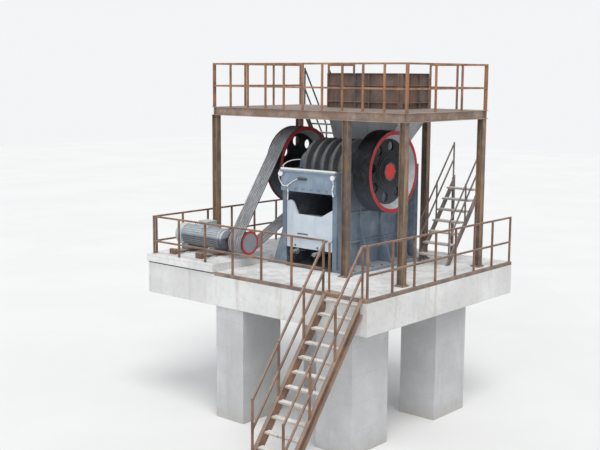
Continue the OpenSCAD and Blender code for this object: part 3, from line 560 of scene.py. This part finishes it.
def add_pipe(name, points, radius, sides=10):
    """A bent white pipe through points that lie at least a few radii apart."""
    line = rounded(points)
    builder = bmesh.new()
    rings = []
    for i, point in enumerate(line):
        ahead = line[min(i + 1, len(line) - 1)] - line[max(i - 1, 0)]
        stand = Matrix.Translation(point) @ turn_to(ahead)
        rings.append([builder.verts.new(stand @ Vector((radius * math.cos(a), radius * math.sin(a), 0)))
                      for a in spread_round(sides)])
    for first, second in zip(rings, rings[1:]):
        for k in range(sides):
            m = (k + 1) % sides
            builder.faces.new((first[k], first[m], second[m], second[k]))
    builder.faces.new(reversed(rings[0]))
    builder.faces.new(rings[-1])
    bmesh.ops.recalc_face_normals(builder, faces=builder.faces)
    add_piece(name, builder, "pale_paint", look="white_pipe")


def rounded(points, steps=6):
    """Points along a smooth line through the given ones."""
    padded = [points[0] * 2 - points[1]] + points + [points[-1] * 2 - points[-2]]
    line = []
    for a, b, c, d in zip(padded, padded[1:], padded[2:], padded[3:]):
        for i in range(steps):
            t = i / steps
            line.append(0.5 * ((2 * b) + (c - a) * t + (2 * a - 5 * b + 4 * c - d) * t * t
                               + (3 * b - a - 3 * c + d) * t ** 3))
    return line + [points[-1]]


def add_ring(builder, centre, radius, thick, sides=32, around=8):
    """A round bar bent to a ring about the X direction. thick is the bar's radius."""
    rows = []
    for a in spread_round(sides):
        row = []
        for b in spread_round(around):
            out = radius + thick * math.cos(b)
            offset = Vector((thick * math.sin(b), out * math.cos(a), out * math.sin(a)))
            row.append(builder.verts.new(centre + offset))
        rows.append(row)
    for first, second in zip(rows, rows[1:] + rows[:1]):
        for k in range(around):
            m = (k + 1) % around
            builder.faces.new((first[k], second[k], second[m], first[m]))
    bmesh.ops.recalc_face_normals(builder, faces=builder.faces)


def grid(xs, ys, zs):
    """Every point with one of the xs, one of the ys and one of the zs."""
    return [Vector((x, y, z)) for x in xs for y in ys for z in zs]


def spread(low, high, count):
    """Evenly spaced numbers from low to high."""
    return [low + (high - low) * i / (count - 1) for i in range(count)]


def spread_round(count):
    """Angles evenly round a circle."""
    return [math.tau * i / count for i in range(count)]


# Small pieces

def column_bolts():
    """A bolt in each corner of the columns' foot plates."""
    inset = 0.04
    plate = 0.02
    places = []
    for name in NODES:
        if name.startswith("column_"):
            low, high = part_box(name)
            places += grid((low.x + inset, high.x - inset), (low.y + inset, high.y - inset),
                           (low.z + plate,))
    add_bolts("column_bolts", places, UP, size=0.024, slot="rusty_steel")


def front_wall_bolts():
    """Bolts down both sides of the crusher's front wall."""
    side = 0.09
    end = 0.15
    low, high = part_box("frame_front_wall")
    rows = spread(low.z + end, high.z - end, count=11)
    places = grid((low.x + side, high.x - side), (low.y,), rows)
    add_bolts("front_wall_bolts", places, FORWARD, size=0.030, slot="blue_grey_paint")


def bearing_bolts():
    """A bolt in each corner of the bearing housings' feet."""
    left = 0.07
    right = 0.12
    end = 0.05
    foot = 0.13
    for name in ("bearing_housing_left", "bearing_housing_right"):
        low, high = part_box(name)
        places = grid((low.x + left, high.x - right), (low.y + end, high.y - end), (low.z + foot,))
        add_bolts(name + "_bolts", places, UP, size=0.034, slot="machined_steel")


def beam_bolts():
    """Bolts along the lower edge of the rear beam."""
    end = 0.25
    recess = 0.04
    rise = 0.08
    low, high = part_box("rear_beam")
    xs = spread(low.x + end, high.x - end, count=6)
    places = grid(xs, (low.y + recess,), (low.z + rise,))
    add_bolts("rear_beam_bolts", places, FORWARD, size=0.026, slot="blue_grey_paint")


def anchor_bolts():
    """A row of anchor bolts in the flange at the foot of each side wall."""
    inset = 0.09
    flange = 0.06
    start = 0.2
    end = 2.3
    low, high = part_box("frame_side_right")
    left_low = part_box("frame_side_left")[0]
    ys = spread(low.y + start, low.y + end, count=7)
    places = grid((high.x - inset, left_low.x + inset), ys, (low.z + flange,))
    add_bolts("anchor_bolts", places, UP, size=0.034, slot="rusty_steel")


def cap_bolts():
    """Bolts round the red disc of the flywheel's end cap."""
    circle = 0.20
    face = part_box("hub_cap_right")[1].x
    places = [Vector((face, SHAFT.y + circle * math.cos(a), SHAFT.z + circle * math.sin(a)))
              for a in spread_round(count=8)]
    add_bolts("hub_cap_bolts", places, RIGHT, size=0.012, slot="machined_steel", body="rotor")


def grease_pipes():
    """White grease pipes on the rear beam: a loop and two branches at its left, and one at its right.

    The loop ends in a dark block."""
    recess = 0.07
    middle = (BEAM_LOW.x + BEAM_HIGH.x) / 2

    def on_beam(side, down, back=0.0):
        """A point by its distance from the beam's middle, its top and its front."""
        return Vector((middle + side, BEAM_LOW.y + recess + back, BEAM_HIGH.z - down))

    loop = [on_beam(-0.76, 0.03), on_beam(-0.86, 0.10), on_beam(-0.86, 0.27), on_beam(-0.74, 0.42),
            on_beam(-0.60, 0.41), on_beam(-0.44, 0.31), on_beam(-0.27, 0.24), on_beam(-0.05, 0.23)]
    add_pipe("grease_loop", loop, radius=0.012)
    block = (on_beam(-0.28, 0.265, -0.03), on_beam(-0.02, 0.205, 0.01))
    add_blocks("grease_block", [block], "dark_steel", bevel=0.012, segments=3)
    drop = [on_beam(-0.60, 0.40), on_beam(-0.59, 0.60), on_beam(-0.60, 0.76)]
    add_pipe("grease_drop", drop, radius=0.015)
    feed = [on_beam(-0.76, -0.03), on_beam(-0.70, -0.12, 0.10), on_beam(-0.58, -0.17, 0.22),
            on_beam(-0.46, -0.18, 0.30)]
    add_pipe("grease_feed", feed, radius=0.012)
    right = [on_beam(0.74, 0.15), on_beam(0.77, 0.30), on_beam(0.74, 0.45), on_beam(0.77, 0.58)]
    add_pipe("grease_right", right, radius=0.018)


def curb_shadow_strip():
    """A black strip below the motor curb's lip: painted shadow."""
    inset = 0.01
    proud = 0.004
    drop = 0.040
    low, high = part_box("motor_curb")
    # Painted shadow below the lip.
    joint = (Vector((low.x + inset, CORNER.y - proud, CORNER.z - drop)),
             Vector((high.x - inset, CORNER.y - CLEAR, CORNER.z - CLEAR)))
    add_blocks("curb_shadow_strip", [joint], "dark_steel", bevel=0.001)


def stair_head_plate():
    """The plate at the main stair's head, bent over the slab's edge."""
    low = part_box("main_stair_sides")[0]
    left = low.x - 0.02
    right = low.x + 0.40
    thick = 0.012
    drop = 0.07
    reach = 0.24
    foot = CORNER.z + CLEAR
    upright = (Vector((left, CORNER.y - thick, CORNER.z - drop)),
               Vector((right, CORNER.y - CLEAR, foot)))
    flat = (Vector((left, CORNER.y - thick, foot)),
            Vector((right, CORNER.y + reach, foot + thick)))
    add_blocks("stair_head_plate", [upright, flat], "rusty_steel", bevel=0.002)


def stair_head_posts():
    """A thin square post at each side of the main stair's head."""
    low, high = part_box("main_stair_sides")
    left = low.x + 0.14
    right = high.x - 0.09
    y = CORNER.y + 0.049
    half = 0.019
    rise = 1.05
    for name, x in (("stair_head_post_left", left), ("stair_head_post_right", right)):
        post = (Vector((x - half, y - half, CORNER.z + CLEAR)),
                Vector((x + half, y + half, CORNER.z + rise)))
        add_blocks(name, [post], "rusty_steel", bevel=0.004, segments=2)


def terminal_lid():
    """The lid of the motor's terminal box, with a bolt in each corner."""
    middle = Vector((MOTOR_HIGH.x - 0.65, MOTOR_SHAFT.y, MOTOR_HIGH.z))
    half = 0.162
    lip = 0.016
    rise = 0.008
    inset = 0.03
    low = middle - Vector((half, half, lip))
    high = middle + Vector((half, half, rise))
    add_blocks("terminal_lid", [(low, high)], "motor_paint", bevel=0.004, segments=2)
    corners = grid((low.x + inset, high.x - inset), (low.y + inset, high.y - inset), (high.z,))
    add_bolts("terminal_bolts", corners, UP, size=0.010, slot="machined_steel")


def fan_grille():
    """Rings and crossing bars on the end of the motor's fan cover."""
    proud = 0.002
    count = 4
    smallest = 0.06
    step = 0.05
    bar = Matrix.Diagonal((0.008, 0.43, 0.010, 1.0))
    centre = Vector((MOTOR_LOW.x - proud, MOTOR_SHAFT.y, MOTOR_SHAFT.z))
    grille = bmesh.new()
    for k in range(count):
        add_ring(grille, centre, radius=smallest + step * k, thick=0.006)
    for k in range(count):
        turn = Matrix.Translation(centre) @ Matrix.Rotation(math.pi * k / count, 4, "X")
        bmesh.ops.create_cube(grille, size=1.0, matrix=turn @ bar)
    add_piece("fan_grille", grille, "dark_steel")


def lifting_eyes():
    """Two rings on top of the motor."""
    rise = 0.290
    eyes = bmesh.new()
    for x in (MOTOR_HIGH.x - 0.30, MOTOR_HIGH.x - 1.05):
        add_ring(eyes, Vector((x, MOTOR_SHAFT.y, MOTOR_SHAFT.z + rise)), radius=0.036, thick=0.011)
    add_piece("lifting_eyes", eyes, "motor_paint")


def packing_plates():
    """Plates under the motor's rails."""
    half_x = 0.16
    half_y = 0.05
    rise = 0.022
    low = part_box("motor_rails")[0]
    plates = []
    for x in (MOTOR_HIGH.x - 1.175, MOTOR_HIGH.x - 0.275):
        for y in (low.y + 0.16, low.y + 0.42):
            plates.append((Vector((x - half_x, y - half_y, low.z + CLEAR)),
                           Vector((x + half_x, y + half_y, low.z + rise))))
    add_blocks("packing_plates", plates, "motor_paint")


column_bolts()
front_wall_bolts()
bearing_bolts()
beam_bolts()
anchor_bolts()
cap_bolts()
grease_pipes()
curb_shadow_strip()
stair_head_plate()
stair_head_posts()
terminal_lid()
fan_grille()
lifting_eyes()
packing_plates()


# Floor, light and camera

def add_floor():
    grey = (0.78, 0.78, 0.77)
    pale = (0.80, 0.80, 0.79)
    bpy.ops.mesh.primitive_plane_add(size=160, location=(0, 0, -0.002))
    floor = bpy.context.object
    floor.name = "floor"
    p = Paint("floor_finish")
    p.finish(p.mix(p.patches(0.2, low=0.4, high=0.6, detail=3), grey, pale), rough=0.9)
    floor.data.materials.append(p.material)


def add_world():
    """A soft cool sky that lights the scene, and a plain pale one that the camera sees."""
    world = bpy.data.worlds.new("studio")
    bpy.context.scene.world = world
    world.use_nodes = True
    tree = world.node_tree
    sky = tree.nodes["Background"]
    sky.inputs["Color"].default_value = (0.93, 0.96, 1.0, 1.0)
    sky.inputs["Strength"].default_value = 0.72
    seen = tree.nodes.new("ShaderNodeBackground")
    seen.inputs["Color"].default_value = (0.90, 0.91, 0.92, 1.0)
    seen.inputs["Strength"].default_value = 1.0
    path = tree.nodes.new("ShaderNodeLightPath")
    choose = tree.nodes.new("ShaderNodeMixShader")
    tree.links.new(path.outputs["Is Camera Ray"], choose.inputs[0])
    tree.links.new(sky.outputs[0], choose.inputs[1])
    tree.links.new(seen.outputs[0], choose.inputs[2])
    tree.links.new(choose.outputs[0], tree.nodes["World Output"].inputs["Surface"])


def add_sun(name, direction, strength, softness, color):
    """A sun that shines along a direction. Its softness is its width in degrees."""
    light = bpy.data.lights.new(name, "SUN")
    light.energy = strength
    light.angle = math.radians(softness)
    light.color = color
    lamp = bpy.data.objects.new(name, light)
    lamp.rotation_euler = Vector(direction).to_track_quat("-Z", "Y").to_euler()
    bpy.context.scene.collection.objects.link(lamp)


def add_camera():
    """The photo's camera, measured from the platform's corner."""
    yaw, pitch, roll = (math.radians(a) for a in (40.66, -8.42, 0.37))
    from_corner = Vector((11.96, -16.00, 4.47))
    focal_px = 1017.3
    photo_width_px = 600.0
    data = bpy.data.cameras.new("camera")
    data.sensor_width = 36.0
    data.lens = focal_px / photo_width_px * data.sensor_width
    data.clip_end = 400
    camera = bpy.data.objects.new("camera", data)
    turn = (Matrix.Rotation(yaw, 4, "Z") @ Matrix.Rotation(math.pi / 2 + pitch, 4, "X")
            @ Matrix.Rotation(roll, 4, "Z"))
    camera.matrix_world = Matrix.Translation(CORNER + from_corner) @ turn
    bpy.context.scene.collection.objects.link(camera)
    bpy.context.scene.camera = camera


add_floor()
add_world()
add_sun("key", (-0.40, 0.30, -0.9), strength=1.5, softness=30, color=(1.0, 0.98, 0.95))
add_sun("front", (-0.35, 0.85, -0.30), strength=0.9, softness=60, color=(0.97, 0.98, 1.0))
add_camera()
bpy.context.scene.view_settings.view_transform = "Standard"
